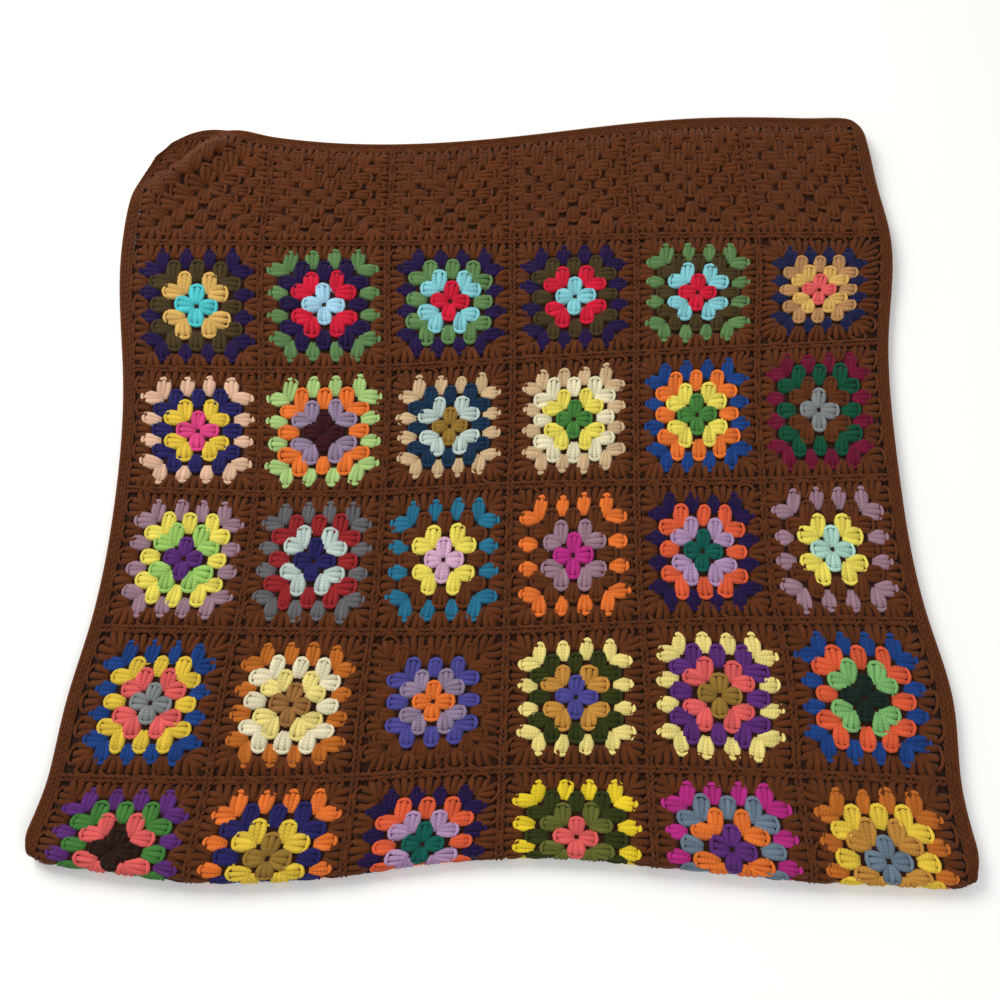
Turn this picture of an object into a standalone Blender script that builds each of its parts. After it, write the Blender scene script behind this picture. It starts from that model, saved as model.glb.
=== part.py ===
"""Granny square blanket, folded once across its width and laid flat.

Six squares across and eleven down, joined into one cloth, with a crocheted band worked
round all four sides. The fold runs along the front (-Y). The upper layer shows and the
lower layer lies flat on the floor at z = 0. The origin is on the floor under the middle.

A place on the cloth is given in squares: across from the left side of the first column,
and down from the top of the first row, over the fold and back up the lower layer.
"""

import math
from collections import namedtuple

import bmesh
import bpy
import numpy as np

# Driving sizes, in metres.
SQUARE = 0.135  # one granny square with its share of the joins
CLOTH = 0.005  # thickness of the crochet
BAND = 0.0135  # width of the crocheted band
JOIN_GAP = 0.0005  # between the squares and the band
FOLD_RADIUS = 0.0095  # outside of the turn at the front
FOLD_RADIUS_WAVE = 0.0012
LAYER_TOP = 0.0128  # top face of the upper layer where it lies on the lower one
EDGE_TOP = 0.0064  # the same where it reaches past the lower layer, at the back
LEAST_TOP = 0.0060  # no trough in the upper layer goes lower than this
TROUGH_ROUND = 0.0015  # how softly a trough meets that limit
LAYER_WAVE = 0.0030  # height of the slow waves in the upper layer
LOWER_INSET = 0.006  # the lower layer's sides lie this far inside the upper one's

# Driving counts and places, in squares.
COLUMNS = 6
ROWS = 11
FOLD_DOWN = 5.69  # middle of the turn
LOWER_END = 0.13  # the lower layer ends under this place of the upper one
SWELL_REACH = 0.65  # the upper layer settles from the turn over this distance

# Middle of the laid blanket in the tables below, which becomes the origin.
MIDDLE_X = 0.00038
MIDDLE_Y = 0.04239

# How the upper layer lies. One row for each line across the cloth: the band's edge, the
# joins between the rows of squares with two places half way, and the front of the turn. The y values are at equal
# parts of the way across.
Line = namedtuple("Line", "down x_left x_mid x_right y_left y_quarter y_mid y_three_quarter y_right")
BAND_SQUARES = BAND / SQUARE
LINES = (
    Line(-BAND_SQUARES, -0.398, 0.013, 0.394, 0.452, 0.4145, 0.422, 0.446, 0.4435),
    Line(0.5, -0.393, 0.013, 0.402, 0.360, 0.342, 0.348, 0.3625, 0.361),
    Line(1, -0.397, 0.013, 0.4105, 0.283, 0.281, 0.286, 0.292, 0.292),
    Line(2, -0.381, 0.013, 0.396, 0.137, 0.135, 0.145, 0.157, 0.168),
    Line(3, -0.373, 0.010, 0.390, 0.007, 0.002, 0.010, 0.014, 0.019),
    Line(4, -0.383, 0.006, 0.401, -0.132, -0.135, -0.134, -0.125, -0.126),
    Line(4.5, -0.396, 0.004, 0.414, -0.200, -0.203, -0.198, -0.194, -0.1995),
    Line(5, -0.404, 0.002, 0.412, -0.268, -0.271, -0.262, -0.263, -0.273),
    Line(FOLD_DOWN, -0.419, -0.001, 0.423, -0.339, -0.359, -0.3385, -0.353, -0.365),
)
PARTS_ACROSS = (0, 0.25, 0.5, 0.75, 1)

# Corners drawn in along a heading: from this far inside the corner the cloth bunches up,
# and never gets further than the softness past there.
Corner = namedtuple("Corner", "x y heading_deg start softness")
UPPER_CORNERS = (
    Corner(-0.398, 0.452, 135, 0.086, 0.034),
    Corner(0.394, 0.4435, 45, 0.012, 0.010),
    Corner(-0.419, -0.339, 225, 0.024, 0.018),
    Corner(0.423, -0.366, -45, 0.034, 0.026),
)
LOWER_CORNERS = (
    Corner(-0.391, 0.404, 135, 0.120, 0.060),
    Corner(0.393, 0.415, 45, 0.060, 0.034),
) + UPPER_CORNERS[2:]

# Soft folds in the upper layer, as ridges (height above 0) and troughs.
Fold = namedtuple("Fold", "x y heading_deg half_length half_width height")
FOLDS = (
    Fold(-0.328, 0.377, 43, 0.070, 0.018, 0.0130),  # roll beside the back left corner
    Fold(-0.351, 0.401, 44, 0.060, 0.0160, -0.0150),  # trough across that corner
    Fold(-0.355, 0.432, 45, 0.055, 0.0085, 0.0250),  # edge standing up beyond it
    Fold(0.392, 0.405, -58, 0.060, 0.020, 0.0060),  # back right corner
    Fold(0.405, 0.285, 88, 0.050, 0.018, 0.0035),  # right side, second row
    Fold(-0.300, -0.325, 78, 0.050, 0.070, 0.0035),  # fold at the front, left
    Fold(0.300, -0.325, 96, 0.050, 0.075, 0.0030),  # fold at the front, right
)

# Facets: the spacing of the grid lines, in squares.
FINE_STEP = 1 / 12
FINE_END = 0.75
COARSE_STEP = 0.25
LOWER_STEP = 0.36
TURN_STEPS = 6

BROWN = (0.125, 0.045, 0.016, 1.0)
BAND_BROWN = (0.110, 0.039, 0.014, 1.0)
YARN_ROUGHNESS = 0.9


def spline(stations, values, at):
    """Natural cubic through the values at the stations, read at the given places."""
    x = np.asarray(stations, float)
    y = np.asarray(values, float)
    step = np.diff(x)
    size = len(x)
    system = np.eye(size)
    load = np.zeros((size,) + y.shape[1:])
    for k in range(1, size - 1):
        system[k, k - 1 : k + 2] = step[k - 1], 2 * (step[k - 1] + step[k]), step[k]
        load[k] = 6 * ((y[k + 1] - y[k]) / step[k] - (y[k] - y[k - 1]) / step[k - 1])
    bend = np.linalg.solve(system, load)
    k = np.clip(np.searchsorted(x, at) - 1, 0, size - 2)
    shape = np.shape(at) + (1,) * (y.ndim - 1)
    h = step[k].reshape(shape)
    a = (x[k + 1] - at).reshape(shape) / h
    b = 1 - a
    return a * y[k] + b * y[k + 1] + ((a**3 - a) * bend[k] + (b**3 - b) * bend[k + 1]) * h**2 / 6


def ease(amount):
    """0 to 1 with level ends."""
    t = np.clip(amount, 0.0, 1.0)
    return t * t * (3 - 2 * t)


def fold_radius(side):
    """Outside radius of the turn, a little uneven from left to right."""
    return FOLD_RADIUS + FOLD_RADIUS_WAVE * np.sin(2 * math.pi * (1.6 * side + 0.1))


def quarter_turn():
    """Length of cloth from the level to the front of the turn, in squares."""
    return math.pi / 2 * FOLD_RADIUS / SQUARE


def lie(across, down, corners):
    """Plan position of a place on the upper layer; down runs from the band's edge to the turn."""
    side = (across + BAND_SQUARES) / (COLUMNS + 2 * BAND_SQUARES)
    turn_start = FOLD_DOWN - quarter_turn()
    stations = [line.down for line in LINES[:-1]] + [turn_start]
    rows = spline(stations, [line[1:] for line in LINES], down)
    x_left, x_mid, x_right = rows[:, 0], rows[:, 1], rows[:, 2]
    lean = 4 * side * (1 - side)
    x = x_left + (x_right - x_left) * side + (x_mid - (x_left + x_right) / 2) * lean
    shares = spline(PARTS_ACROSS, np.eye(len(PARTS_ACROSS)), side)
    front = np.clip((down - 5) / (turn_start - 5), 0, 1)
    y = (rows[:, 3:] * shares).sum(axis=1) + fold_radius(side) * front
    for corner in corners:
        angle = math.radians(corner.heading_deg)
        ahead = (x - corner.x) * math.cos(angle) + (y - corner.y) * math.sin(angle)
        past = np.maximum(ahead + corner.start, 0)
        drawn = corner.softness * (1 - np.exp(-past / corner.softness)) - past
        x = x + drawn * math.cos(angle)
        y = y + drawn * math.sin(angle)
    return x, y, side


def relief(x, y):
    """Height that the soft folds add to the upper layer."""
    height = np.zeros_like(x)
    for fold in FOLDS:
        angle = math.radians(fold.heading_deg)
        along = (x - fold.x) * math.cos(angle) + (y - fold.y) * math.sin(angle)
        beside = (y - fold.y) * math.cos(angle) - (x - fold.x) * math.sin(angle)
        height += fold.height * np.exp(-((along / fold.half_length) ** 2) - (beside / fold.half_width) ** 2)
    return height


def outer_face(across, down):
    """Points of the cloth's outer face: up on the upper layer, down on the lower one."""
    across = np.asarray(across, float)
    down = np.asarray(down, float)
    quarter = quarter_turn()
    turn_start, turn_end = FOLD_DOWN - quarter, FOLD_DOWN + quarter
    last = ROWS + BAND_SQUARES
    upper = down <= turn_start
    lower = down >= turn_end

    back = turn_start + (LOWER_END - turn_start) * (down - turn_end) / (last - turn_end)
    lower_x, lower_y, side = lie(across, np.clip(back, 0, turn_start), LOWER_CORNERS)
    tuck = LOWER_INSET * ease((down - turn_end) / SWELL_REACH)
    lower_x = lower_x - tuck * (2 * side - 1)

    x, y, side = lie(across, np.minimum(down, turn_start), UPPER_CORNERS)
    radius = fold_radius(side)
    swell = ease(1 - (turn_start - down) / SWELL_REACH)
    over_edge = ease((down + BAND_SQUARES) / (LOWER_END + BAND_SQUARES))
    level = EDGE_TOP + (LAYER_TOP - EDGE_TOP) * over_edge
    wave = LAYER_WAVE * (0.5 + 0.5 * np.sin(11 * x + 5 * y) * np.sin(9 * y - 4 * x + 1))
    z = level + (2 * radius - level) * swell + (1 - swell) * (wave * over_edge + relief(x, y))
    above = z - LEAST_TOP
    z = np.where(swell > 0, z, LEAST_TOP + (above + np.hypot(above, TROUGH_ROUND)) / 2)

    angle = np.clip((down - FOLD_DOWN) / quarter, -1, 1) * math.pi / 2
    turn_y = y - radius * np.cos(angle)
    turn_z = radius * (1 - np.sin(angle))
    x = np.where(lower, lower_x, x)
    y = np.where(upper, y, np.where(lower, lower_y, turn_y))
    z = np.where(upper, z, np.where(lower, 0.0, turn_z))
    return np.stack([x - MIDDLE_X, y - MIDDLE_Y, z], axis=-1)


def outward(across, down):
    """Unit normals of the outer face, by small steps either way."""
    step = 1e-3
    along_x = outer_face(across + step, down) - outer_face(across - step, down)
    along_y = outer_face(across, down + step) - outer_face(across, down - step)
    normal = np.cross(along_y, along_x)
    return normal / np.linalg.norm(normal, axis=-1, keepdims=True)


def across_stations():
    """Grid lines from side to side, closer together at the left where the corner is rumpled."""
    fine = np.arange(0, FINE_END, FINE_STEP)
    return np.concatenate([fine, np.arange(FINE_END, COLUMNS + COARSE_STEP / 2, COARSE_STEP)])


def down_stations():
    """Grid lines from the top of the first row, round the turn, to the end of the last row."""
    quarter = quarter_turn()
    fine = np.arange(0, FINE_END, FINE_STEP)
    coarse = np.arange(FINE_END, 5.3, COARSE_STEP)
    turn = FOLD_DOWN + quarter * np.linspace(-1, 1, TURN_STEPS + 1)
    lower_count = round((ROWS - turn[-1]) / LOWER_STEP)
    return np.concatenate([fine, coarse, turn, np.linspace(turn[-1], ROWS, lower_count + 1)[1:]])


def with_band(stations, end):
    """The same grid lines, with the band's outer and inner edges at both ends."""
    gap = JOIN_GAP / SQUARE
    return np.concatenate([[-BAND_SQUARES, -gap], stations[1:-1], [end + gap, end + BAND_SQUARES]])


def grid_places(bm, across, down):
    """Places on the cloth for the points of a unit grid with one grid line for each station."""
    unit = np.array([point.co for point in bm.verts]) + 0.5
    column = np.rint(unit[:, 0] * (len(across) - 1)).astype(int)
    row = np.rint((1 - unit[:, 1]) * (len(down) - 1)).astype(int)
    return across[column], down[row]


def thicken(bm, places):
    """Closes an open grid into a solid: an inner face a cloth's thickness in, and rims between."""
    outer_points = outer_face(*places)
    inner_points = outer_points - CLOTH * outward(*places)
    order = dict(zip(bm.verts, places[0] + places[1]))
    rims = [loop for edge in bm.edges if edge.is_boundary for loop in edge.link_loops]
    rims = [(loop.vert, loop.link_loop_next.vert) for loop in rims]
    faces = [list(face.verts) for face in bm.faces]
    inner = {}
    for point, outer_place, inner_place in zip(list(bm.verts), outer_points, inner_points):
        point.co = outer_place
        inner[point] = bm.verts.new(inner_place)
    for corners in faces:
        bm.faces.new([inner[point] for point in reversed(corners)])
    for start, end in rims:
        rim = [end, start, inner[start], inner[end]]
        if order[start] > order[end]:
            # Facets on the two sides of a join are split along the same diagonal.
            rim = rim[1:] + rim[:1]
        bm.faces.new(rim)


def cloth_piece(name, across, down, colour, open_middle=False):
    """One closed crocheted piece. With open_middle only its outer ring of facets is kept."""
    bm = bmesh.new()
    bmesh.ops.create_grid(bm, x_segments=len(across) - 1, y_segments=len(down) - 1, size=0.5)
    if open_middle:
        edge_x = 0.5 - 1 / (len(across) - 1)
        edge_y = 0.5 - 1 / (len(down) - 1)
        middle = []
        for face in bm.faces:
            centre = face.calc_center_median()
            if abs(centre.x) < edge_x and abs(centre.y) < edge_y:
                middle.append(face)
        bmesh.ops.delete(bm, geom=middle, context="FACES")
    thicken(bm, grid_places(bm, across, down))
    bmesh.ops.recalc_face_normals(bm, faces=bm.faces)
    mesh = bpy.data.meshes.new(name)
    bm.to_mesh(mesh)
    bm.free()
    mesh.shade_smooth()
    mesh.materials.append(yarn(name + "_yarn", colour))
    return bpy.data.objects.new(name, mesh)


def yarn(name, colour):
    material = bpy.data.materials.new(name)
    material.use_nodes = True
    shader = material.node_tree.nodes["Principled BSDF"]
    shader.inputs["Base Color"].default_value = colour
    shader.inputs["Roughness"].default_value = YARN_ROUGHNESS
    shader.inputs["Metallic"].default_value = 0.0
    return material


def clear_scene():
    for old in list(bpy.data.objects):
        bpy.data.objects.remove(old, do_unlink=True)


def main():
    clear_scene()
    blanket = bpy.data.collections.new("granny_square_blanket")
    bpy.context.scene.collection.children.link(blanket)
    across = across_stations()
    down = down_stations()
    squares = cloth_piece("joined_squares", across, down, BROWN)
    band = cloth_piece(
        "crochet_band", with_band(across, COLUMNS), with_band(down, ROWS), BAND_BROWN, open_middle=True
    )
    for piece in (squares, band):
        blanket.objects.link(piece)


main()
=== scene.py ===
"""Looks of a granny square blanket, folded once across its width and laid flat.

Every stitch is laid out on the flat cloth, in metres across from the left side of the first
column, down from the top of the first row, and up from the cloth's outer face. The whole
work is then laid over the fold by the same tables that shape the solids.
"""

import math
from collections import namedtuple

import bpy
import numpy as np
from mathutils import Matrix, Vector


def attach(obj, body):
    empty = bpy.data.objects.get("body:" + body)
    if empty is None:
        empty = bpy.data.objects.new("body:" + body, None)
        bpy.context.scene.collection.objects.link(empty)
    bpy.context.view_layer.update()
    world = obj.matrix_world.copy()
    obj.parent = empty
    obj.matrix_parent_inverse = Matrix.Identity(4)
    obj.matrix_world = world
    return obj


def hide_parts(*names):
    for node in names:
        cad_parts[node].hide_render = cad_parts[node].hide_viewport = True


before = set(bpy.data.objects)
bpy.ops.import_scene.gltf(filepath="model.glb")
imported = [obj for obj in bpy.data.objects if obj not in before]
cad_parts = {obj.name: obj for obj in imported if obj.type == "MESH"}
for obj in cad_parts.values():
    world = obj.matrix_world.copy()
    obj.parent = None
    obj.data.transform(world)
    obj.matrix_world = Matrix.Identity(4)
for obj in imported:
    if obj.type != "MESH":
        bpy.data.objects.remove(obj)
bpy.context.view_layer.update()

# ---------------------------------------------------------------- how the cloth lies

SQUARE = 0.135  # one granny square with its share of the joins
CLOTH = 0.005  # thickness of the crochet
BAND = 0.0135  # width of the crocheted band
FOLD_RADIUS = 0.0095
FOLD_RADIUS_WAVE = 0.0012
LAYER_TOP = 0.0128
EDGE_TOP = 0.0064
LEAST_TOP = 0.0060
TROUGH_ROUND = 0.0015
LAYER_WAVE = 0.0030
LOWER_INSET = 0.006
COLUMNS = 6
ROWS = 11
FOLD_DOWN = 5.69
LOWER_END = 0.13
SWELL_REACH = 0.65
MIDDLE_X = 0.00038
MIDDLE_Y = 0.04239

Line = namedtuple("Line", "down x_left x_mid x_right y_left y_quarter y_mid y_three_quarter y_right")
BAND_SQUARES = BAND / SQUARE
LINES = (
    Line(-BAND_SQUARES, -0.398, 0.013, 0.394, 0.452, 0.4145, 0.422, 0.446, 0.4435),
    Line(0.5, -0.393, 0.013, 0.402, 0.360, 0.342, 0.348, 0.3625, 0.361),
    Line(1, -0.397, 0.013, 0.4105, 0.283, 0.281, 0.286, 0.292, 0.292),
    Line(2, -0.381, 0.013, 0.396, 0.137, 0.135, 0.145, 0.157, 0.168),
    Line(3, -0.373, 0.010, 0.390, 0.007, 0.002, 0.010, 0.014, 0.019),
    Line(4, -0.383, 0.006, 0.401, -0.132, -0.135, -0.134, -0.125, -0.126),
    Line(4.5, -0.396, 0.004, 0.414, -0.200, -0.203, -0.198, -0.194, -0.1995),
    Line(5, -0.404, 0.002, 0.412, -0.268, -0.271, -0.262, -0.263, -0.273),
    Line(FOLD_DOWN, -0.419, -0.001, 0.423, -0.339, -0.359, -0.3385, -0.353, -0.365),
)
PARTS_ACROSS = (0, 0.25, 0.5, 0.75, 1)

Corner = namedtuple("Corner", "x y heading_deg start softness")
UPPER_CORNERS = (
    Corner(-0.398, 0.452, 135, 0.086, 0.034),
    Corner(0.394, 0.4435, 45, 0.012, 0.010),
    Corner(-0.419, -0.339, 225, 0.024, 0.018),
    Corner(0.423, -0.366, -45, 0.034, 0.026),
)
LOWER_CORNERS = (
    Corner(-0.391, 0.404, 135, 0.120, 0.060),
    Corner(0.393, 0.415, 45, 0.060, 0.034),
) + UPPER_CORNERS[2:]

Fold = namedtuple("Fold", "x y heading_deg half_length half_width height")
FOLDS = (
    Fold(-0.328, 0.377, 43, 0.070, 0.018, 0.0130),
    Fold(-0.351, 0.401, 44, 0.060, 0.0160, -0.0150),
    Fold(-0.355, 0.432, 45, 0.055, 0.0085, 0.0250),
    Fold(0.392, 0.405, -58, 0.060, 0.020, 0.0060),
    Fold(0.405, 0.285, 88, 0.050, 0.018, 0.0035),
    Fold(-0.300, -0.325, 78, 0.050, 0.070, 0.0035),
    Fold(0.300, -0.325, 96, 0.050, 0.075, 0.0030),
)


def spline(stations, values, at):
    """Natural cubic through the values at the stations, read at the given places."""
    x = np.asarray(stations, float)
    y = np.asarray(values, float)
    step = np.diff(x)
    size = len(x)
    system = np.eye(size)
    load = np.zeros((size,) + y.shape[1:])
    for k in range(1, size - 1):
        system[k, k - 1 : k + 2] = step[k - 1], 2 * (step[k - 1] + step[k]), step[k]
        load[k] = 6 * ((y[k + 1] - y[k]) / step[k] - (y[k] - y[k - 1]) / step[k - 1])
    bend = np.linalg.solve(system, load)
    k = np.clip(np.searchsorted(x, at) - 1, 0, size - 2)
    shape = np.shape(at) + (1,) * (y.ndim - 1)
    h = step[k].reshape(shape)
    a = (x[k + 1] - at).reshape(shape) / h
    b = 1 - a
    return a * y[k] + b * y[k + 1] + ((a**3 - a) * bend[k] + (b**3 - b) * bend[k + 1]) * h**2 / 6


def ease(amount):
    """0 to 1 with level ends."""
    t = np.clip(amount, 0.0, 1.0)
    return t * t * (3 - 2 * t)


def fold_radius(side):
    return FOLD_RADIUS + FOLD_RADIUS_WAVE * np.sin(2 * math.pi * (1.6 * side + 0.1))


def quarter_turn():
    """Length of cloth from the level to the front of the turn, in squares."""
    return math.pi / 2 * FOLD_RADIUS / SQUARE


def lie(across, down, corners):
    """Plan position of a place on the upper layer; down runs from the band's edge to the turn."""
    side = (across + BAND_SQUARES) / (COLUMNS + 2 * BAND_SQUARES)
    turn_start = FOLD_DOWN - quarter_turn()
    stations = [line.down for line in LINES[:-1]] + [turn_start]
    rows = spline(stations, [line[1:] for line in LINES], down)
    x_left, x_mid, x_right = rows[:, 0], rows[:, 1], rows[:, 2]
    lean = 4 * side * (1 - side)
    x = x_left + (x_right - x_left) * side + (x_mid - (x_left + x_right) / 2) * lean
    shares = spline(PARTS_ACROSS, np.eye(len(PARTS_ACROSS)), side)
    front = np.clip((down - 5) / (turn_start - 5), 0, 1)
    y = (rows[:, 3:] * shares).sum(axis=1) + fold_radius(side) * front
    for corner in corners:
        angle = math.radians(corner.heading_deg)
        ahead = (x - corner.x) * math.cos(angle) + (y - corner.y) * math.sin(angle)
        past = np.maximum(ahead + corner.start, 0)
        drawn = corner.softness * (1 - np.exp(-past / corner.softness)) - past
        x = x + drawn * math.cos(angle)
        y = y + drawn * math.sin(angle)
    return x, y, side


def relief(x, y):
    """Height that the soft folds add to the upper layer."""
    height = np.zeros_like(x)
    for fold in FOLDS:
        angle = math.radians(fold.heading_deg)
        along = (x - fold.x) * math.cos(angle) + (y - fold.y) * math.sin(angle)
        beside = (y - fold.y) * math.cos(angle) - (x - fold.x) * math.sin(angle)
        height += fold.height * np.exp(-((along / fold.half_length) ** 2) - (beside / fold.half_width) ** 2)
    return height


def outer_face(across, down):
    """Points of the cloth's outer face: up on the upper layer, down on the lower one."""
    quarter = quarter_turn()
    turn_start, turn_end = FOLD_DOWN - quarter, FOLD_DOWN + quarter
    last = ROWS + BAND_SQUARES
    upper = down <= turn_start
    lower = down >= turn_end

    back = turn_start + (LOWER_END - turn_start) * (down - turn_end) / (last - turn_end)
    lower_x, lower_y, side = lie(across, np.clip(back, 0, turn_start), LOWER_CORNERS)
    tuck = LOWER_INSET * ease((down - turn_end) / SWELL_REACH)
    lower_x = lower_x - tuck * (2 * side - 1)

    x, y, side = lie(across, np.minimum(down, turn_start), UPPER_CORNERS)
    radius = fold_radius(side)
    swell = ease(1 - (turn_start - down) / SWELL_REACH)
    over_edge = ease((down + BAND_SQUARES) / (LOWER_END + BAND_SQUARES))
    level = EDGE_TOP + (LAYER_TOP - EDGE_TOP) * over_edge
    wave = LAYER_WAVE * (0.5 + 0.5 * np.sin(11 * x + 5 * y) * np.sin(9 * y - 4 * x + 1))
    z = level + (2 * radius - level) * swell + (1 - swell) * (wave * over_edge + relief(x, y))
    above = z - LEAST_TOP
    z = np.where(swell > 0, z, LEAST_TOP + (above + np.hypot(above, TROUGH_ROUND)) / 2)

    angle = np.clip((down - FOLD_DOWN) / quarter, -1, 1) * math.pi / 2
    turn_y = y - radius * np.cos(angle)
    turn_z = radius * (1 - np.sin(angle))
    x = np.where(lower, lower_x, x)
    y = np.where(upper, y, np.where(lower, lower_y, turn_y))
    z = np.where(upper, z, np.where(lower, 0.0, turn_z))
    return np.stack([x - MIDDLE_X, y - MIDDLE_Y, z], axis=-1)


def outward(across, down):
    """Unit normals of the outer face, by small steps either way."""
    step = 2e-3
    along_x = outer_face(across + step, down) - outer_face(across - step, down)
    along_y = outer_face(across, down + step) - outer_face(across, down - step)
    normal = np.cross(along_y, along_x)
    return normal / np.linalg.norm(normal, axis=-1, keepdims=True)


FLOOR_CLEARANCE = 0.0001


def laid(flat):
    """Flat cloth places (across, down, up, in metres) on the folded cloth, pressed flat at the floor."""
    across, down = flat[:, 0] / SQUARE, flat[:, 1] / SQUARE
    points = outer_face(across, down) + flat[:, 2:3] * outward(across, down)
    points[:, 2] = np.maximum(points[:, 2], FLOOR_CLEARANCE)
    return points


# ---------------------------------------------------------------- materials

# Places of a Mix node's colour sockets, which share their names with its other sockets.
MIX_FACTOR, MIX_LOW, MIX_HIGH, MIX_RESULT = 0, 6, 7, 2


class Socket:
    """An output socket in a material. Arithmetic on numbers adds Math nodes."""

    def __init__(self, tree, output):
        self.tree = tree
        self.output = output

    def node(self, kind, settings=None, inputs=None, out=0):
        """Adds a node: its settings first, then the values or links of its sockets."""
        made = self.tree.nodes.new(kind)
        for name, value in (settings or {}).items():
            setattr(made, name, value)
        for name, value in (inputs or {}).items():
            if isinstance(value, Socket):
                self.tree.links.new(value.output, made.inputs[name])
            else:
                made.inputs[name].default_value = value
        return Socket(self.tree, made.outputs[out])

    def math(self, operation, *values):
        return self.node("ShaderNodeMath", {"operation": operation}, dict(enumerate(values)))

    def __add__(self, other):
        return self.math("ADD", self, other)

    __radd__ = __add__

    def __sub__(self, other):
        return self.math("SUBTRACT", self, other)

    def __rsub__(self, other):
        return self.math("SUBTRACT", other, self)

    def __mul__(self, other):
        return self.math("MULTIPLY", self, other)

    __rmul__ = __mul__

    def sine(self):
        return self.math("SINE", self)

    def mixed(self, low, high):
        """A colour from low to high as this number goes from 0 to 1."""
        inputs = {MIX_FACTOR: self, MIX_LOW: low, MIX_HIGH: high}
        return self.node("ShaderNodeMix", {"data_type": "RGBA"}, inputs, MIX_RESULT)


def linear(code):
    """A linear colour from its usual six-digit code."""
    parts = [int(code[k : k + 2], 16) / 255 for k in (0, 2, 4)]
    return tuple(((p + 0.055) / 1.055) ** 2.4 if p > 0.04045 else p / 12.92 for p in parts)


def shade(colour, amount):
    return tuple(min(1.0, part * amount) for part in colour) + (1.0,)


YARN_TWIST = 6.4  # millimetres along the strand for each turn of its plies


def yarn(name, code, sheen=0.06):
    """Worsted yarn: plies that twist round the strand, with painted shade in the grooves between them, fuzz, and a
    dye that is a little uneven.
    """
    material = bpy.data.materials.new("yarn_" + name)
    material.use_nodes = True
    tree = material.node_tree
    shader = tree.nodes["Principled BSDF"]
    start = Socket(tree, None)
    strand = start.node("ShaderNodeAttribute", {"attribute_name": "strand"}, out="Vector")
    around, along, chance = (start.node("ShaderNodeSeparateXYZ", None, {0: strand}, axis) for axis in "XYZ")
    place = start.node("ShaderNodeTexCoord", out="Object")
    fuzz = start.node("ShaderNodeTexNoise", None, {"Vector": place, "Scale": 1400.0, "Detail": 3.0}, "Fac")
    patch = start.node("ShaderNodeTexNoise", None, {"Vector": place, "Scale": 60.0, "Detail": 2.0}, "Fac")
    # The ply twist sets the bump and also painted shade: the colour is darker along the grooves between plies.
    plies = ((along * (1 / YARN_TWIST) + around) * (2 * math.pi * 2)).sine() * 0.5 + 0.5
    # The tone mixes the painted ply shade with the yarn's own uneven tone from chance, fuzz and patchy dye.
    tone = plies * 0.25 + chance * 0.40 + fuzz * 0.35 + patch * 0.35 - 0.18
    colour = linear(code)
    base = tone.mixed(shade(colour, 0.55), shade(colour, 1.16))
    tree.links.new(base.output, shader.inputs["Base Color"])
    height = plies * 0.5 + fuzz * 0.7
    bump = start.node("ShaderNodeBump", None, {"Strength": 0.55, "Distance": 0.0006, "Height": height})
    tree.links.new(bump.output, shader.inputs["Normal"])
    roughness = 0.78 + fuzz * 0.18
    tree.links.new(roughness.output, shader.inputs["Roughness"])
    shader.inputs["Sheen Weight"].default_value = sheen
    shader.inputs["Sheen Roughness"].default_value = 0.5
    shader.inputs["Specular IOR Level"].default_value = 0.12
    return material


YARNS = {
    "brown": "5f3013",
    "turquoise": "52c9cf",
    "sky": "a3cfe6",
    "aqua": "84cbd3",
    "mint": "aed6c6",
    "grey_mint": "bccdc6",
    "red": "cf1a38",
    "brick": "962428",
    "burgundy": "6f1030",
    "maroon": "3a0f18",
    "coral": "e0605e",
    "hot_pink": "dd4684",
    "magenta": "b52a80",
    "pink_lilac": "d6abc6",
    "orange": "e5752f",
    "coral_orange": "dc5c38",
    "ginger": "bd6a24",
    "ochre": "c48c3c",
    "khaki": "94722f",
    "camel": "9a6c3a",
    "tan": "b8895a",
    "sand": "dab060",
    "peach": "dfb79a",
    "beige": "cdb088",
    "cream": "e8dfbc",
    "pale_yellow": "ead983",
    "lemon": "e9da5c",
    "yellow": "e3c240",
    "bright_yellow": "e8cc2c",
    "lime": "9cc865",
    "pale_lime": "a9c87c",
    "light_green": "7fb86f",
    "green": "46803a",
    "sage": "5f8450",
    "olive": "65682c",
    "olive_brown": "46381c",
    "dark_olive": "31380f",
    "bottle_green": "0d4f36",
    "teal_green": "0d5a50",
    "black_green": "14261d",
    "teal": "256f8e",
    "teal_navy": "14304a",
    "royal": "1b3f80",
    "navy": "1a1f45",
    "indigo": "26225c",
    "aubergine": "231242",
    "purple": "5c2c74",
    "mauve": "9a7a88",
    "lilac": "b08fb6",
    "lilac_grey": "93809a",
    "violet": "4c4892",
    "slate": "6b7c8c",
    "grey": "848889",
    "mid_grey": "666468",
    "dark_brown": "2b160e",
}

# The yarns of rounds one to four in each coloured square; round five and the joins are brown.
COLOURED_ROWS = (
    (
        "turquoise sand olive_brown aubergine",
        "sky red aubergine sage",
        "red aqua sage aubergine",
        "aqua red olive_brown aubergine",
        "red aqua olive_brown sage",
        "coral sand tan navy",
    ),
    (
        "hot_pink yellow indigo peach",
        "maroon lilac_grey orange pale_lime",
        "khaki grey_mint teal_navy beige",
        "green lemon cream beige",
        "green lemon orange royal",
        "grey brown bottle_green burgundy",
    ),
    (
        "purple lime lemon mauve",
        "indigo grey_mint brick mid_grey",
        "pink_lilac lemon brown teal",
        "magenta mauve brown orange",
        "teal_green lilac coral_orange aubergine",
        "mint lemon brown mauve",
    ),
    (
        "grey coral yellow royal",
        "camel pale_yellow cream ginger",
        "orange lilac_grey violet brown",
        "violet ochre dark_olive pale_yellow",
        "khaki coral purple pale_yellow",
        "black_green light_green coral_orange royal",
    ),
    (
        "dark_brown coral green purple",
        "khaki yellow indigo orange",
        "teal_green lilac coral_orange aubergine",
        "coral olive dark_olive bright_yellow",
        "purple orange slate magenta",
        "slate ochre yellow ginger",
    ),
)
LAST_SEEN_ROW = len(COLOURED_ROWS)

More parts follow.
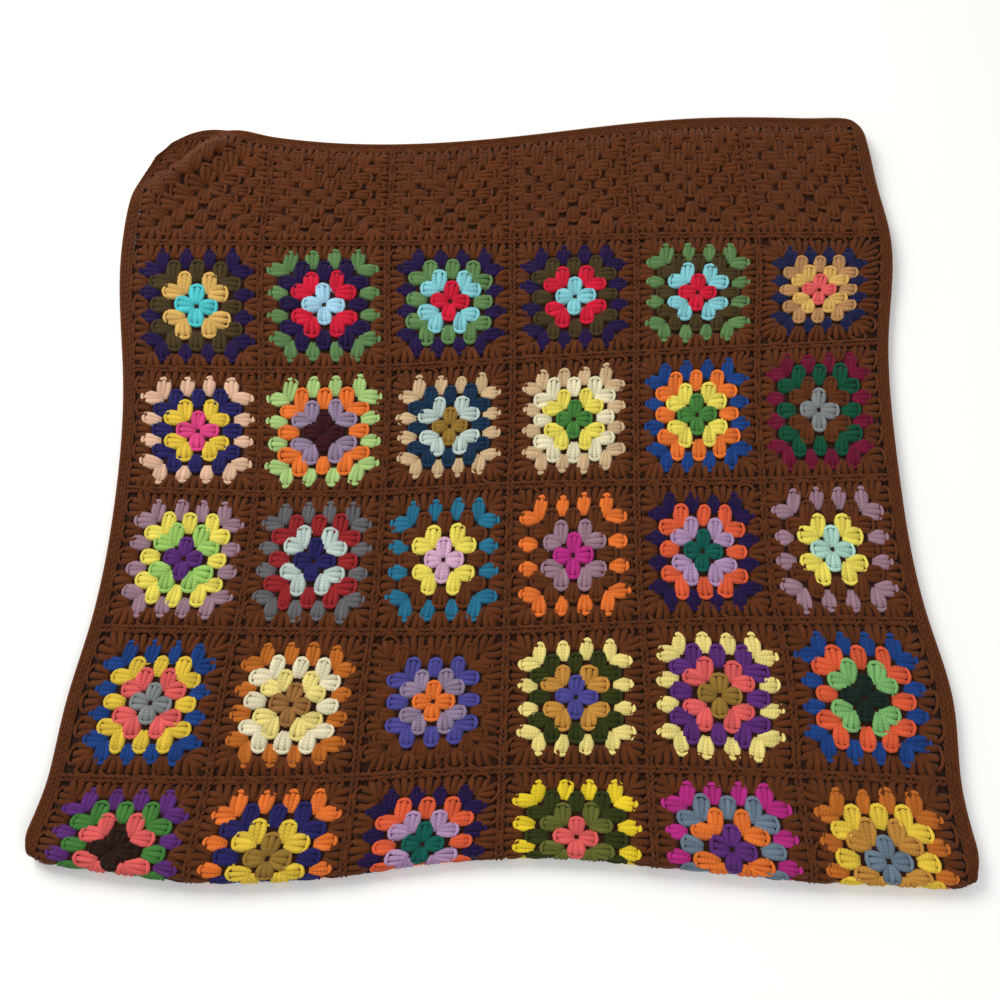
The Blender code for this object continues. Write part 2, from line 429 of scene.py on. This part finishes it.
# The coloured rounds come out tighter in some squares, and the brown round makes up the rest.
COLOURED_SIZE, COLOURED_SIZE_SPREAD = 0.95, 0.035
COLOURED_SIZE_RANGE = (0.87, 1.0)
COLOURED_REACH = 0.0605


def square_yarns(row, column):
    """The yarn of each round. Rows on the underside repeat the seen ones in the other order."""
    if row in (0, ROWS - 1):
        rounds = ["brown"] * 4
    elif row <= LAST_SEEN_ROW:
        rounds = COLOURED_ROWS[row - 1][column].split()
    else:
        rounds = COLOURED_ROWS[ROWS - 2 - row][(column + 3) % COLUMNS].split()
    return rounds + ["brown"]


# ---------------------------------------------------------------- strands of yarn

class Work:
    """Strands laid out on the flat cloth, gathered into one mesh."""

    def __init__(self):
        self.points = []
        self.corners = {3: [], 4: []}
        self.strand = {3: [], 4: []}
        self.yarn = {3: [], 4: []}
        self.count = 0

    def faces(self, size, corners, strand, yarn):
        self.corners[size].append(corners.reshape(-1, size))
        self.strand[size].append(strand.reshape(-1, size, 3))
        self.yarn[size].append(yarn.reshape(-1))

    def strands(self, paths, radii, yarn, chance, sides=6, loop=False, flatten=0.9):
        """Tubes along paths (n, k, 3) with radii (n, k), one yarn and one chance value each."""
        number, rings, _ = paths.shape
        if loop:
            ahead = np.roll(paths, -1, axis=1) - np.roll(paths, 1, axis=1)
        else:
            ahead = np.gradient(paths, axis=1)
        ahead = ahead / np.linalg.norm(ahead, axis=-1, keepdims=True)
        beside = np.cross(ahead, (0.0, 0.0, 1.0))
        beside /= np.linalg.norm(beside, axis=-1, keepdims=True)
        above = np.cross(beside, ahead)
        turn = 2 * math.pi * np.arange(sides) / sides
        ring = beside[:, :, None] * np.cos(turn)[:, None] + above[:, :, None] * (np.sin(turn) * flatten)[:, None]
        points = paths[:, :, None] + radii[:, :, None, None] * ring
        first = self.count
        self.points.append(points.reshape(-1, 3))
        self.count += number * rings * sides

        steps = rings if loop else rings - 1
        tube = first + np.arange(number)[:, None, None] * rings * sides
        here = np.arange(steps)[None, :, None]
        there = (here + 1) % rings
        turned = np.arange(sides)[None, None, :]
        next_turned = (turned + 1) % sides
        quads = [tube + here * sides + turned, tube + here * sides + next_turned]
        quads += [tube + there * sides + next_turned, tube + there * sides + turned]
        quads = np.stack(np.broadcast_arrays(*quads), axis=-1)
        length = np.linalg.norm(np.diff(paths, axis=1, append=paths[:, :1]), axis=-1)
        along = 1000 * np.concatenate([np.zeros((number, 1)), np.cumsum(length, axis=1)], axis=1)
        low, high = along[:, :steps, None], along[:, 1 : steps + 1, None]
        wide = turned / sides
        parts = [(wide, low), (wide + 1 / sides, low), (wide + 1 / sides, high), (wide, high)]
        lot = np.asarray(chance, float)[:, None, None]
        strand = [np.stack(np.broadcast_arrays(a, b, lot), axis=-1) for a, b in parts]
        strand = np.stack(np.broadcast_arrays(*strand), axis=-2)
        yarn = np.asarray(yarn)[:, None, None]
        self.faces(4, quads, strand, np.broadcast_to(yarn, quads.shape[:-1]))
        if not loop:
            self.ends(paths, ahead, radii, first, sides, yarn[:, 0], lot[:, 0])

    def ends(self, paths, ahead, radii, first, sides, yarn, lot):
        """Closes each tube with a low cone at both ends."""
        number, rings, _ = paths.shape
        tube = first + np.arange(number)[:, None] * rings * sides
        turned = np.arange(sides)[None, :]
        next_turned = (turned + 1) % sides
        for ring, way in ((0, -1), (rings - 1, 1)):
            tips = paths[:, ring] + ahead[:, ring] * radii[:, ring, None] * 0.5 * way
            tip = self.count + np.arange(number)[:, None]
            self.points.append(tips)
            self.count += number
            edge = [tube + ring * sides + turned, tube + ring * sides + next_turned]
            if way < 0:
                edge.reverse()
            fan = np.stack(np.broadcast_arrays(*edge, tip), axis=-1)
            strand = np.zeros(fan.shape + (3,))
            strand[..., 2] = lot[..., None]
            self.faces(3, fan, strand, np.broadcast_to(yarn, fan.shape[:-1]))

    def grid(self, across, down, top, bottom, yarn, keep=None):
        """A closed thin sheet between two heights over a grid of flat places."""
        rows, columns = len(down), len(across)
        flat = np.stack(np.meshgrid(across, down), axis=-1).reshape(-1, 2)
        first = self.count
        for height in (top, bottom):
            self.points.append(np.column_stack([flat, np.full(len(flat), height)]))
        self.count += 2 * len(flat)
        cell = first + np.arange(rows - 1)[:, None] * columns + np.arange(columns - 1)
        if keep is None:
            keep = np.ones(cell.shape, bool)
        wanted = np.pad(keep, 1)
        steps = ((0, 1), (1, columns + 1), (columns + 1, columns), (columns, 0))
        beyond = (wanted[:-2, 1:-1], wanted[1:-1, 2:], wanted[2:, 1:-1], wanted[1:-1, :-2])
        under = len(flat)
        faces = [np.stack([cell[keep] + s for s in (0, 1, columns + 1, columns)], axis=-1)]
        faces.append(faces[0][:, ::-1] + under)
        for (start, end), neighbour in zip(steps, beyond):
            edge = cell[keep & ~neighbour]
            faces.append(np.stack([edge + end, edge + start, edge + start + under, edge + end + under], axis=-1))
        faces = np.concatenate(faces)
        strand = np.zeros(faces.shape + (3,))
        self.faces(4, faces, strand, np.full(len(faces), yarn))

    def piece(self, name, yarn_names, slot):
        """One mesh object of all the strands, laid over the fold."""
        points = laid(np.concatenate(self.points))
        loops, strand, yarn, sizes = [], [], [], []
        for size in (3, 4):
            if self.corners[size]:
                corners = np.concatenate(self.corners[size])
                loops.append(corners.ravel())
                strand.append(np.concatenate(self.strand[size]).reshape(-1, 3))
                yarn.append(np.concatenate(self.yarn[size]))
                sizes.append(np.full(len(corners), size))
        loops, strand, yarn, sizes = (np.concatenate(a) for a in (loops, strand, yarn, sizes))
        mesh = bpy.data.meshes.new(name)
        mesh.vertices.add(len(points))
        mesh.vertices.foreach_set("co", points.astype(np.float32).ravel())
        mesh.loops.add(len(loops))
        mesh.loops.foreach_set("vertex_index", loops.astype(np.int32))
        mesh.polygons.add(len(sizes))
        mesh.polygons.foreach_set("loop_start", np.concatenate([[0], np.cumsum(sizes)[:-1]]).astype(np.int32))
        used, slots = np.unique(yarn, return_inverse=True)
        for k in used:
            mesh.materials.append(MATERIALS[yarn_names[k]])
        mesh.polygons.foreach_set("material_index", slots.astype(np.int32))
        mesh.update(calc_edges=True)
        layer = mesh.attributes.new("strand", "FLOAT_VECTOR", "CORNER")
        layer.data.foreach_set("vector", strand.astype(np.float32).ravel())
        mesh.shade_smooth()
        piece = bpy.data.objects.new(name, mesh)
        bpy.context.scene.collection.objects.link(piece)
        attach(piece, "root")
        return piece


# ---------------------------------------------------------------- one granny square

# Rounds from the middle out, in metres from the middle of the square: where the tops of the
# clusters come, where their feet stand, and how far along a side the corner clusters lie.
Round = namedtuple("Round", "top foot corner_foot corner_top spread thick")
ROUNDS = (
    Round(0.0195, 0.0030, 0.0030, 0.0000, 0.0056, 0.0035),
    Round(0.0325, 0.0160, 0.0130, 0.0138, 0.0056, 0.0035),
    Round(0.0455, 0.0270, 0.0245, 0.0240, 0.0054, 0.0034),
    Round(0.0580, 0.0400, 0.0375, 0.0368, 0.0049, 0.0034),
    Round(0.0660, 0.0515, 0.0495, 0.0495, 0.0078, 0.0037),
)
FOOT_SPREAD = 0.0020
FLARE = 0.65
SLANT = 0.0012  # stitches lean the way the round is worked
FOOT_UP, POST_UP, CAP_UP, GAP_UP = -0.0038, -0.0026, -0.0014, -0.0043
CAP_THICK, GAP_THICK = 0.0020, 0.0011
CAP_ANGLES = np.radians((-88, -56, -28, 0, 28, 56, 88))
CAP_SWELL = (0.75, 1.0, 0.86, 1.06, 0.86, 1.0, 0.75)


def coloured_size(row, rng):
    """Size of a square's coloured rounds as a share of the usual; the brown rows have none."""
    if row in (0, ROWS - 1):
        return 1.0
    return float(np.clip(rng.normal(COLOURED_SIZE, COLOURED_SIZE_SPREAD), *COLOURED_SIZE_RANGE))


def tops_on_side(number):
    """Where along a side the clusters of a round have their tops; number is from 1 to 5."""
    if number == 1:
        return np.zeros(1)
    corner = ROUNDS[number - 1].corner_top
    return np.linspace(-corner, corner, number)


def clusters(number):
    """Foot and top of each cluster on the upper side of a round, as (along, out)."""
    round_ = ROUNDS[number - 1]
    along = tops_on_side(number)
    feet = np.zeros_like(along)
    out = np.full_like(along, round_.foot)
    if number > 1:
        before = tops_on_side(number - 1)
        feet[1:-1] = (before[1:] + before[:-1]) / 2
        feet[0], feet[-1] = -round_.corner_foot, round_.corner_foot
        out[0] = out[-1] = round_.corner_foot
    return np.stack([feet, out], axis=-1), np.stack([along, np.full_like(along, round_.top)], axis=-1)


def turned(places, side):
    """Places (along, out, ...) of the upper side turned on to one of the four sides."""
    x, y = places[..., 0], -places[..., 1]
    for _ in range(side):
        x, y = -y, x
    return np.concatenate([x[..., None], y[..., None], places[..., 2:]], axis=-1)


def square_side(number, steps, rng):
    """Posts and chain of one side of a round: posts (3c, steps, 3), chain rings (8c, 3)."""
    round_ = ROUNDS[number - 1]
    feet, tops = clusters(number)
    tops = tops + rng.normal(0, 0.0009, tops.shape)
    tops[:, 0] += SLANT
    widths = rng.normal(1, 0.07, (len(feet), 1, 1))
    axis = tops - feet
    reach = np.linalg.norm(axis, axis=-1, keepdims=True)
    axis = axis / reach
    beside = np.stack([axis[:, 1], -axis[:, 0]], axis=-1)
    tau = np.linspace(0, 1, steps)[None, :, None]
    posts = []
    for place in (-1, 0, 1):
        length = 0.85 if place else 0.93
        width = FOOT_SPREAD + (round_.spread - FOOT_SPREAD) * np.sin(tau * math.pi / 2) ** FLARE
        flat = feet[:, None] + axis[:, None] * (reach[:, None] * tau * length)
        flat = flat + beside[:, None] * (place * width * widths)
        flat = flat + rng.normal(0, 0.0002, (len(feet), 1, 2))
        up = FOOT_UP + (POST_UP - FOOT_UP) * np.sin(tau * math.pi / 2)
        posts.append(np.concatenate([flat, np.broadcast_to(up, flat.shape[:2] + (1,))], axis=-1))
    posts = np.stack(posts, axis=1).reshape(-1, steps, 3)

    middle = feet + axis * (reach * 0.80)
    wide = round_.spread + round_.thick * 0.55
    tall = reach * 0.20 + round_.thick * 0.35
    caps = middle[:, None] + beside[:, None] * (wide * widths * np.sin(CAP_ANGLES)[None, :, None])
    caps = caps + axis[:, None] * (tall[:, None] * np.cos(CAP_ANGLES)[None, :, None])
    up = GAP_UP + (CAP_UP - GAP_UP) * np.cos(CAP_ANGLES * 0.75)
    caps = np.concatenate([caps, np.broadcast_to(up[None, :, None], caps.shape[:2] + (1,))], axis=-1)
    corner = (round_.top + round_.corner_top) / 2 + 0.002 if number > 1 else round_.top * 0.62
    last = np.array([[corner, corner, GAP_UP]])
    between = (caps[:-1, -1] + caps[1:, 0]) / 2
    between[:, 2] = GAP_UP
    gaps = np.concatenate([between, last])
    chain = np.concatenate([caps, gaps[:, None]], axis=1).reshape(-1, 3)
    swell = np.tile(np.append(np.array(CAP_SWELL) * CAP_THICK, GAP_THICK), len(feet))
    return posts, chain, swell


POST_SWELL = {4: (0.72, 0.98, 1.06, 0.92), 3: (0.75, 1.05, 0.92)}


def crochet_squares(work, rows, steps, sides, rng):
    """All the stitches of the squares in some rows."""
    for row in rows:
        for column in range(COLUMNS):
            yarns = [YARN_NAMES.index(name) for name in square_yarns(row, column)]
            centre = np.array([column + 0.5, row + 0.5]) * SQUARE
            lean = math.radians(rng.normal(0, 2.5))
            size = coloured_size(row, rng)
            for number in range(1, len(ROUNDS) + 1):
                posts, chain, swell = [], [], []
                for side in range(4):
                    side_posts, side_chain, side_swell = square_side(number, steps, rng)
                    posts.append(turned(side_posts, side))
                    chain.append(turned(side_chain, side))
                    swell.append(side_swell)
                posts = settle(np.concatenate(posts), centre, lean, size)
                chain = settle(np.concatenate(chain)[None], centre, lean, size)
                thick = ROUNDS[number - 1].thick * (size + 1) / 2 * np.array(POST_SWELL[steps])
                thick = np.broadcast_to(thick, posts.shape[:2]) * rng.normal(1, 0.04, (len(posts), 1))
                yarn = np.full(len(posts), yarns[number - 1])
                work.strands(posts, thick, yarn, rng.random(len(posts)), sides)
                chance = np.array([0.5 + 0.5 * rng.random()])
                work.strands(chain, np.concatenate(swell)[None], yarn[:1], chance, sides, loop=True)


def settle(places, centre, lean, size):
    """A square's places on the cloth: coloured rounds of their own size, the edge as it is."""
    half = SQUARE / 2
    reach = np.abs(places[..., :2]).max(axis=-1)
    stretch = (half - size * COLOURED_REACH) / (half - COLOURED_REACH)
    outside = half - (half - reach) * stretch
    grown = np.where(reach < COLOURED_REACH, size, outside / np.maximum(reach, 1e-6))
    angle = lean * (1 - np.clip(reach / half, 0, 1) ** 3)
    x, y = places[..., 0], places[..., 1]
    across = (x * np.cos(angle) - y * np.sin(angle)) * grown + centre[0]
    down = (x * np.sin(angle) + y * np.cos(angle)) * grown + centre[1]
    return np.stack([across, down, places[..., 2]], axis=-1)


# ---------------------------------------------------------------- joins and band

JOIN_PITCH = 0.0052
JOIN_THICK = 0.0016
JOIN_WIDE = 0.0030
JOIN_UP = -0.0004


def braid(work, line, pitch, wide, thick, up, yarn, rng, sides=4):
    """A row of crocheted V stitches along a line of flat places."""
    step = np.linalg.norm(np.diff(line, axis=0), axis=-1)
    along = np.concatenate([[0], np.cumsum(step)])
    count = max(2, int(along[-1] / pitch))
    at = (np.arange(count) + 0.5) * along[-1] / count
    place = np.stack([np.interp(at, along, line[:, k]) for k in range(2)], axis=-1)
    ahead = np.stack([np.interp(at + 1e-4, along, line[:, k]) for k in range(2)], axis=-1) - np.stack(
        [np.interp(at - 1e-4, along, line[:, k]) for k in range(2)], axis=-1
    )
    ahead /= np.linalg.norm(ahead, axis=-1, keepdims=True)
    beside = np.stack([-ahead[:, 1], ahead[:, 0]], axis=-1)
    for way in (-1, 1):
        ends = []
        for back, out, drop in ((-0.62, 1.0, -0.0012), (0.0, 0.72, 0.0), (0.62, 0.16, -0.0010)):
            flat = place + ahead * (pitch * back) + beside * (way * wide * out)
            flat = flat + rng.normal(0, 0.00012, flat.shape)
            ends.append(np.column_stack([flat, np.full(count, up + drop)]))
        paths = np.stack(ends, axis=1)
        radii = np.broadcast_to(thick * np.array([0.8, 1.1, 0.8]), (count, 3))
        work.strands(paths, radii, np.full(count, yarn), rng.random(count), sides)


def join_line(work, start, end, rng, pitch=JOIN_PITCH):
    line = np.array([start, end]) * SQUARE
    braid(work, line, pitch, JOIN_WIDE, JOIN_THICK, JOIN_UP, BROWN, rng)


def crochet_joins(work, first_row, last_row, pitch, rng):
    """Ridged joins round the squares of some rows, those above each row and between columns."""
    for row in range(first_row, last_row + 1):
        for column in range(COLUMNS):
            join_line(work, (column, row), (column + 1, row), rng, pitch)
            if column:
                join_line(work, (column, row), (column, row + 1), rng, pitch)


def round_edge(inset, rounding=0.005, pitch=0.004):
    """Flat places along the blanket's outline, this far inside it, with rounded corners."""
    low = -BAND + inset
    wide, long_ = COLUMNS * SQUARE - low, ROWS * SQUARE - low
    places = []
    corners = ((wide, low, -90), (wide, long_, 0), (low, long_, 90), (low, low, 180))
    for x, y, start in corners:
        centre_x = x - rounding * np.sign(x - COLUMNS * SQUARE / 2)
        centre_y = y - rounding * np.sign(y - ROWS * SQUARE / 2)
        for turn in np.radians(np.linspace(start, start + 90, 7)):
            places.append((centre_x + rounding * math.cos(turn), centre_y + rounding * math.sin(turn)))
    places.append(places[0])
    places = np.array(places)
    step = np.linalg.norm(np.diff(places, axis=0), axis=-1)
    along = np.concatenate([[0], np.cumsum(step)])
    at = np.linspace(0, along[-1], int(along[-1] / pitch) + 1)[:-1]
    return np.stack([np.interp(at, along, places[:, k]) for k in range(2)], axis=-1)


BAND_ROWS = (0.0045, 0.0079, 0.0113)
BAND_PITCH = 0.0056
BAND_WIDE = 0.0017
BAND_THICK = 0.00125


def crochet_band(work, rng):
    """Rows of stitches along the band, and the cord of chain that ends it."""
    for inset in BAND_ROWS:
        line = round_edge(inset)
        line = np.concatenate([line, line[:1]])
        braid(work, line, BAND_PITCH, BAND_WIDE, BAND_THICK, -0.0012, BROWN, rng)
    edge = round_edge(0.0022, pitch=0.0025)
    path = np.column_stack([edge, np.full(len(edge), -0.0025)])[None]
    swell = 0.0022 * (1 + 0.10 * np.sin(np.arange(len(edge)) * math.pi))[None]
    work.strands(path, swell, np.array([BROWN]), np.array([0.5]), 6, loop=True)


# ---------------------------------------------------------------- grounds: a painted-shade sheet under the squares, a brown one under the band

GROUND_TOP, GROUND_BOTTOM = -0.0034, -0.0047
BAND_TOP, BAND_BOTTOM = -0.0020, -0.0042


def fine_stations(end, step):
    return np.linspace(0, end * SQUARE, int(end / step) + 1)


# A dark brown sheet under the squares' stitches: painted shade that fills the holes between stitches, where the
# layer beneath lies in shadow.
def squares_painted_shade_sheet():
    work = Work()
    across = fine_stations(COLUMNS, 1 / 12)
    down = np.concatenate([fine_stations(ROWS, 1 / 12), np.linspace(5.5, 5.9, 17) * SQUARE])
    work.grid(across, np.unique(np.round(down, 5)), GROUND_TOP, GROUND_BOTTOM, YARN_NAMES.index("ground"))
    return work.piece("squares_painted_shade_sheet", YARN_NAMES, "crochet_squares")


def band_ground():
    work = Work()
    edge = 0.0008
    across = fine_stations(COLUMNS, 1 / 8)
    down = np.unique(np.round(np.concatenate([fine_stations(ROWS, 1 / 8), np.linspace(5.5, 5.9, 17) * SQUARE]), 5))
    before = np.array([edge - BAND, -BAND / 2, -edge])
    beyond = -before[::-1]
    across = np.concatenate([before, across[1:-1], across[-1] + beyond])
    down = np.concatenate([before, down[1:-1], down[-1] + beyond])
    keep = np.ones((len(down) - 1, len(across) - 1), bool)
    keep[2:-2, 2:-2] = False
    work.grid(across, down, BAND_TOP, BAND_BOTTOM, BROWN, keep)
    return work.piece("band_ground", YARN_NAMES, "crochet_band")


# ---------------------------------------------------------------- making

YARN_NAMES = sorted(YARNS) + ["ground"]
BROWN = YARN_NAMES.index("brown")
MATERIALS = {name: yarn(name, code) for name, code in YARNS.items()}
# The ground yarn is painted shade: darker than the brown yarn, it stands for the shadow seen through the holes
# between stitches.
MATERIALS["ground"] = yarn("ground", "33180b")

rng = np.random.default_rng(11)
for row in range(6):
    work = Work()
    crochet_squares(work, [row], 4, 5, rng)
    work.piece(f"squares_row_{row + 1}", YARN_NAMES, "crochet_squares")
for number, rows in enumerate(((6, 7, 8), (9, 10))):
    work = Work()
    crochet_squares(work, rows, 3, 4, rng)
    work.piece(f"squares_under_{number + 1}", YARN_NAMES, "crochet_squares")
work = Work()
crochet_joins(work, 0, 5, JOIN_PITCH, rng)
work.piece("joins_upper", YARN_NAMES, "crochet_squares")
work = Work()
crochet_joins(work, 6, 10, JOIN_PITCH * 2, rng)
work.piece("joins_under", YARN_NAMES, "crochet_squares")
work = Work()
crochet_band(work, rng)
band_stitches = work.piece("band_stitches", YARN_NAMES, "crochet_band")

squares = squares_painted_shade_sheet()
band = band_ground()
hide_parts("joined_squares")
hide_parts("crochet_band")

# ---------------------------------------------------------------- floor, lights, camera


def plain_floor():
    mesh = bpy.data.meshes.new("floor")
    half = 6.0
    mesh.from_pydata([(-half, -half, 0), (half, -half, 0), (half, half, 0), (-half, half, 0)], [], [(0, 1, 2, 3)])
    material = bpy.data.materials.new("floor")
    material.use_nodes = True
    shader = material.node_tree.nodes["Principled BSDF"]
    shader.inputs["Base Color"].default_value = (0.95, 0.95, 0.945, 1)
    shader.inputs["Roughness"].default_value = 0.7
    mesh.materials.append(material)
    floor = bpy.data.objects.new("floor", mesh)
    bpy.context.scene.collection.objects.link(floor)


def area_light(name, place, aim, size, power, colour=(1, 1, 1)):
    lamp = bpy.data.lights.new(name, "AREA")
    lamp.shape = "DISK"
    lamp.size = size
    lamp.energy = power
    lamp.color = colour
    light = bpy.data.objects.new(name, lamp)
    bpy.context.scene.collection.objects.link(light)
    point_at(light, place, aim)


def point_at(thing, place, aim):
    thing.location = place
    thing.rotation_euler = (Vector(aim) - Vector(place)).to_track_quat("-Z", "Y").to_euler()


CAMERA_ELEVATION = 70
CAMERA_DISTANCE = 1.1757
CAMERA_LENS, CAMERA_SENSOR = 43.2, 36.0


def studio():
    world = bpy.data.worlds.new("studio")
    world.use_nodes = True
    world.node_tree.nodes["Background"].inputs["Color"].default_value = (1.0, 0.99, 0.97, 1)
    world.node_tree.nodes["Background"].inputs["Strength"].default_value = 0.48
    bpy.context.scene.world = world
    area_light("key", (-1.3, 1.3, 1.9), (0, 0, 0), 1.5, 50, (1.0, 0.98, 0.95))
    area_light("fill", (0.8, -1.2, 2.0), (0, 0, 0), 1.6, 16)
    aim = (-MIDDLE_X, -MIDDLE_Y, 0.0)
    lens = bpy.data.cameras.new("camera")
    lens.lens = CAMERA_LENS
    lens.sensor_width = CAMERA_SENSOR
    camera = bpy.data.objects.new("camera", lens)
    bpy.context.scene.collection.objects.link(camera)
    angle = math.radians(CAMERA_ELEVATION)
    back, high = CAMERA_DISTANCE * math.cos(angle), CAMERA_DISTANCE * math.sin(angle)
    point_at(camera, (aim[0], aim[1] - back, high), aim)
    bpy.context.scene.camera = camera
    bpy.context.scene.view_settings.view_transform = "Standard"


plain_floor()
studio()
